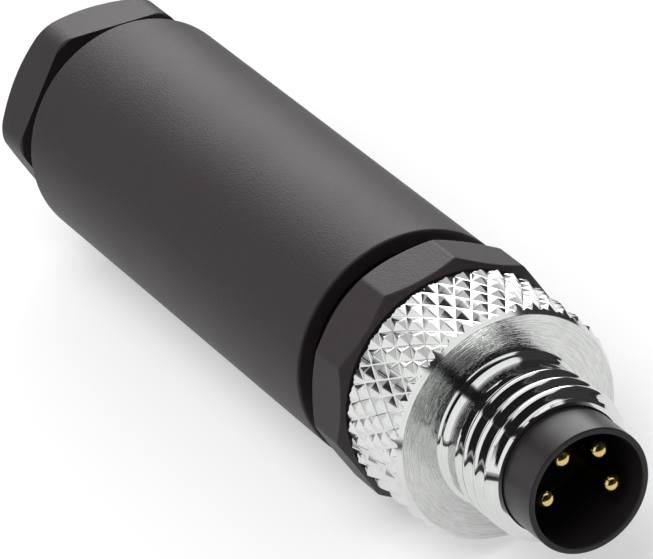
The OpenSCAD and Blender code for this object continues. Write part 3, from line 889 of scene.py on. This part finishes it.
# %% The gland nut
NUT_GAP, NUT_HALF_WIDTH, NUT_CORNER, NUT_TURN = 1.6, 5.43, 1.5, 77.7
CABLE_RADIUS, NECK_RADIUS, CONE_RADIUS, CONE_END, CONE_DEPTH = 2.65, 4.7, 4.05, 3.1, 4.9
NECK_OVERLAP = 0.2
nut_neck_front, nut_rear = span("gland_nut")
nut_front = sleeve_rear + NUT_GAP
hexagon_mesh = grown(
    "nut_hexagon", flats_tree, Front=nut_front, Rear=nut_rear, Inner_radius=CABLE_RADIUS, Lip=0.15,
    Columns=360, Rows=64, Sides=6.0, Turn=NUT_TURN, Half_width=NUT_HALF_WIDTH, Corner=NUT_CORNER,
    Front_radius=5.95, Front_slope=1.0, Rear_radius=4.7, Rear_slope=1.15, Ease=0.12)
piece("nut_hexagon", hexagon_mesh, housing_plastic, "nut", "black_housing", "gland_nut")
neck_end, cone_front = nut_front + NECK_OVERLAP, nut_rear - CONE_DEPTH
neck_mesh = turned("nut_neck", [
    (nut_neck_front, NECK_RADIUS, 0.15), (neck_end, NECK_RADIUS, 0), (neck_end, CONE_END, 0),
    (cone_front, CONE_RADIUS, 0.05), (nut_neck_front, CONE_RADIUS, 0.08)])
piece("nut_neck", neck_mesh, housing_plastic, "nut", "black_housing", "gland_nut")

# %% [markdown]
# ## Pieces that keep the solid's own shape
#
# The inner pieces are right as solids, and only their edges are too sharp, so making them again
# would gain nothing. A copy of each mesh is merged, its flat faces are joined, and a Bevel modifier
# rounds its edges by a few hundredths.

# %% Copies with rounded edges
COPY_WELD = 0.001 * MM
FLAT_ANGLE, BEVEL_ANGLE = math.radians(0.5), math.radians(35)


def eased_copy(name, node, width):
    bm = bmesh.new()
    bm.from_mesh(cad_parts[node].data)
    bmesh.ops.remove_doubles(bm, verts=bm.verts, dist=COPY_WELD)
    bmesh.ops.dissolve_limit(bm, angle_limit=FLAT_ANGLE, verts=bm.verts, edges=bm.edges)
    rough = bpy.data.meshes.new(name)
    bm.to_mesh(rough)
    bm.free()
    carrier = linked(name, rough)
    bevel = carrier.modifiers.new("Ease", "BEVEL")
    bevel.width, bevel.segments, bevel.angle_limit = width * MM, 2, BEVEL_ANGLE
    return finished_mesh(name, plain_copy(carrier))


screws = [("terminal_screw_" + letter, "terminal_screw_%d" % i, 0.04, pressed_steel, "screw_%d" % i,
           "spring_steel") for i, letter in enumerate("abcd", 1)]
for name, node, width, material, body, slot in (
        ("retaining_clip", "retaining_ring", 0.04, pressed_steel, "plug_body", "spring_steel"),
        ("flange_gasket", "insert_gasket", 0.06, rubber, "plug_body", "rubber"),
        ("terminal_moulding", "terminal_block", 0.05, block_plastic, "plug_body",
         "dark_insulator"), *screws,
        ("cable_seal_ring", "cable_seal", 0.1, rubber, "housing", "rubber"),
        ("washer", "slip_washer", 0.05, pressed_steel, "housing", "spring_steel"),
        ("cage", "clamping_cage", 0.06, cage_plastic, "cage", "cage_plastic")):
    piece(name, eased_copy(name, node, width), material, body, slot, node)

# %% [markdown]
# ## The floor
#
# The plug lies on a round white sheet. It is partly matt, to keep the plug's shadow, and partly
# glows for the rays that are seen or mirrored, to be as white as the backdrop. Towards its edge the
# glow takes over, and the sheet fades into the white behind. A brighter lamp would whiten it too,
# but would wash out the plug as well.

# %% The floor
SHEET_RADIUS, FADE_START, FADE_MARGIN, SHEET_CORNERS = 70.0, 40.0, 5.0, 128
MATT_SHARE = 0.60
WHITE, BLACK = (1.0, 1.0, 1.0), (0.0, 0.0, 0.0)


def ray_kinds(tree):
    """Whether a ray is the camera's, is mirrored or has passed through something."""
    rays = tree.nodes.new("ShaderNodeLightPath")
    return [Field(tree, rays.outputs["Is %s Ray" % kind])
            for kind in ("Camera", "Glossy", "Transmission")]


bpy.ops.mesh.primitive_circle_add(vertices=SHEET_CORNERS, radius=SHEET_RADIUS * MM,
                                  fill_type="NGON")
sheet = bpy.context.object
sheet.name = "floor"
sheet_white = bpy.data.materials.new("White floor")
sheet_white.use_nodes = True
tree = sheet_white.node_tree
tree.nodes.clear()
camera_ray, glossy_ray, through_ray = ray_kinds(tree)
seen = camera_ray.most(glossy_ray).most(through_ray)
length = put(tree, "ShaderNodeVectorMath", operation="LENGTH", Vector=object_place(tree))
edge = (Field(tree, length.outputs["Value"]) / MM).ramp(FADE_START, SHEET_RADIUS - FADE_MARGIN)
matt = put(tree, "ShaderNodeBsdfDiffuse", Color=blended(tree, edge, (MATT_SHARE,) * 3, BLACK))
glow = put(tree, "ShaderNodeEmission", Color=(*WHITE, 1.0),
           Strength=seen * (edge * MATT_SHARE + (1.0 - MATT_SHARE)))
added = put(tree, "ShaderNodeAddShader")
tree.links.new(matt.outputs[0], added.inputs[0])
tree.links.new(glow.outputs[0], added.inputs[1])
leave = tree.nodes.new("ShaderNodeOutputMaterial")
tree.links.new(added.outputs[0], leave.inputs[0])
sheet.data.materials.append(sheet_white)
print("the sheet is", 2 * SHEET_RADIUS, "across and fades from", FADE_START)

# %% [markdown]
# ## The studio
#
# Bright metal shows what is round it. A product studio puts a softbox above the plug and one to its
# left, and black card between them and on the other sides, which draws the dark lines that make
# metal look like metal. Real panels would light the plastic too, so they are drawn into the world,
# where only mirrored rays see them. The camera sees plain white, and all other rays get an even,
# low level.
#
# A strip is bounded by its side, the angle round the plug's axis with 0 on the right and 90
# straight up, and by how far it goes east, along the plug. Two round panels with soft edges add the
# lamps themselves. Each panel covers what the ones before it have drawn.

# %% The panels round the plug
SIDE_EDGE, EAST_EDGE = 3, 0.04
OPEN_LEVEL, GROUND_LEVEL, FILL_LEVEL = 0.48, 0.03, 0.35
HORIZON = (-0.08, -0.02)
STRIPS = (  # side from and to, east from and to, level
    (42, 107, -0.42, 0.57, 1.15),  # the softbox above
    (122, 200, -0.97, 0.64, 1.15),  # the softbox on the left
    (106, 123, -0.75, 1.1, 0.02),  # the dark seam between them
    (-20, 40, -0.70, 1.1, 0.05),  # the dark card on the right
    (40, 122, 0.58, 1.1, 0.015),  # the dark card in front, above
    (122, 200, 0.65, 1.1, 0.015))  # the dark card in front, on the left
ROUND_PANELS = (  # azimuth, elevation, half width, soft edge, level
    (172, 40, 16, 7, 1.3),
    (151, 26, 21, 7, 4.8))


def facing(azimuth, elevation):
    """A direction: azimuth 0 looks along +X, past the mating face, and 90 along +Y."""
    a, e = math.radians(azimuth), math.radians(elevation)
    return Vector((math.cos(a) * math.cos(e), math.sin(a) * math.cos(e), math.sin(e)))


def between(field, low, high, soft):
    """1 between low and high, 0 outside, with soft edges."""
    return field.ramp(low - soft, low + soft) * (1.0 - field.ramp(high - soft, high + soft))


print("panels:", len(STRIPS), "strips and", len(ROUND_PANELS), "round ones")

# %% [markdown]
# The world's tree starts from the open studio's level and lays one panel after the other over it.
# Below the horizon it is dark, as the floor's own sheet is what the plug mirrors there.

# %% The world
world = bpy.data.worlds.new("Studio")
bpy.context.scene.world = world
world.use_nodes = True
tree = world.node_tree
way = put(tree, "ShaderNodeSeparateXYZ",
          Vector=tree.nodes.new("ShaderNodeTexCoord").outputs["Generated"])
east, north, up = (Field(tree, way.outputs[i]) for i in range(3))
side = up.math("ARCTAN2", north) * (180 / math.pi)
studio = OPEN_LEVEL
for side_from, side_to, east_from, east_to, level in STRIPS:
    panel = between(side, side_from, side_to, SIDE_EDGE) \
        * between(east, east_from, east_to, EAST_EDGE)
    studio = studio * (1.0 - panel) + panel * level
for azimuth, elevation, half_width, soft, level in ROUND_PANELS:
    aim = facing(azimuth, elevation)
    toward = east * aim.x + north * aim.y + up * aim.z
    panel = toward.ramp(math.cos(math.radians(half_width + soft)),
                        math.cos(math.radians(half_width - soft)))
    studio = studio * (1.0 - panel) + panel * level
above = up.ramp(*HORIZON)
studio = studio * above + (1.0 - above) * GROUND_LEVEL
camera_ray, glossy_ray, through_ray = ray_kinds(tree)
mirrored = glossy_ray.most(through_ray)
background = tree.nodes["Background"]
background.inputs["Color"].default_value = (*WHITE, 1.0)
plug(tree, camera_ray.pick(1.0, mirrored.pick(studio, FILL_LEVEL)), background.inputs["Strength"])
print("the world has", len(tree.nodes), "nodes")

# %% [markdown]
# ## The lamps
#
# The lamps are large and soft, at a level at which a colour renders about as it is written.
# Mirrored rays don't see them, because the world already draws what metal shows. The lamp above
# does most, the one behind lights the sleeve's upper edge, and a weak one keeps the near side from
# going black.

# %% The lamps
def softbox(name, azimuth, elevation, distance, size, watts):
    lamp = bpy.data.lights.new(name, "AREA")
    lamp.shape, lamp.size, lamp.size_y, lamp.energy = "RECTANGLE", size[0], size[1], watts
    item = linked(name, lamp)
    item.location = facing(azimuth, elevation) * distance
    item.rotation_euler = item.location.to_track_quat("Z", "Y").to_euler()
    item.visible_glossy = False
    print("the", name, "lamp gives", watts, "W from", distance, "m")


softbox("overhead", -60, 70, 0.5, size=(0.35, 0.35), watts=1.7)
softbox("back", 150, 25, 0.5, size=(0.40, 0.30), watts=1.2)
softbox("side", -75, 20, 0.6, size=(0.35, 0.25), watts=0.35)

# %% [markdown]
# ## The camera
#
# The camera looks at the mating face from above and a little from the side, and is rolled, so that
# the plug runs from the lower right to the upper left. It stands 285 mm away with a long lens, so
# that the sleeve narrows only a little towards its far end, as in a catalogue.

# %% The camera
AZIMUTH, ELEVATION, ROLL = math.radians(70.01), math.radians(33.02), math.radians(17.58)
AIM, DISTANCE = Vector((5.72, -1.97, 10.13)) * MM, 285.0 * MM
LENS, SENSOR_WIDTH = 320.93, 36.0
camera_data = bpy.data.cameras.new("camera")
camera_data.lens, camera_data.sensor_width = LENS, SENSOR_WIDTH
camera_data.clip_start, camera_data.clip_end = 0.01, 20.0
camera = linked("camera", camera_data)
back = Vector((math.sin(AZIMUTH) * math.cos(ELEVATION), -math.cos(AZIMUTH) * math.cos(ELEVATION),
               math.sin(ELEVATION)))
level_turn = (-back).to_track_quat("-Z", "Y").to_matrix()
camera.rotation_euler = (level_turn @ Matrix.Rotation(-ROLL, 3, "Z")).to_euler()
camera.location = AIM + back * DISTANCE
bpy.context.scene.camera = camera
bpy.context.scene.view_settings.view_transform = "Standard"
print("the camera is at", tuple(round(value / MM, 1) for value in camera.location))

# %% [markdown]
# ## Close
